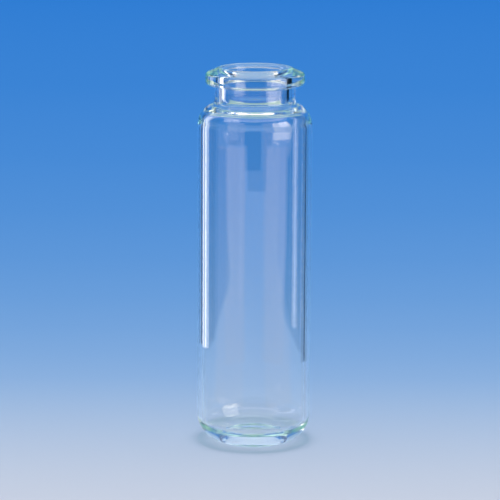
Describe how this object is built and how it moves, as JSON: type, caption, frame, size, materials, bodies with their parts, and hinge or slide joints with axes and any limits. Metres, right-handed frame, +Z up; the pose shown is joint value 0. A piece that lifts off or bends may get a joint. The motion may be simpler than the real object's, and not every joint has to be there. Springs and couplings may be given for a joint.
{
  "type": "glass sample vial",
  "caption": "Tall clear glass headspace sample vial with an open mouth, a bevelled crimp flange, a short neck, a round shoulder, and a rounded heel about a pushed-up base with a sloping inner floor.",
  "frame": {"origin": "on the vial's axis, at the plane of the ring that it stands on", "axes": "+Z up along the axis towards the open mouth; round about Z, so X and Y are free"},
  "size_m": [0.023, 0.023, 0.0767],
  "materials": {
    "clear_glass": "clear fire-polished borosilicate glass, faint blue-green where it is thick"
  },
  "bodies": {
    "root": {"glass_vial": "clear_glass"}
  },
  "joints": []
}
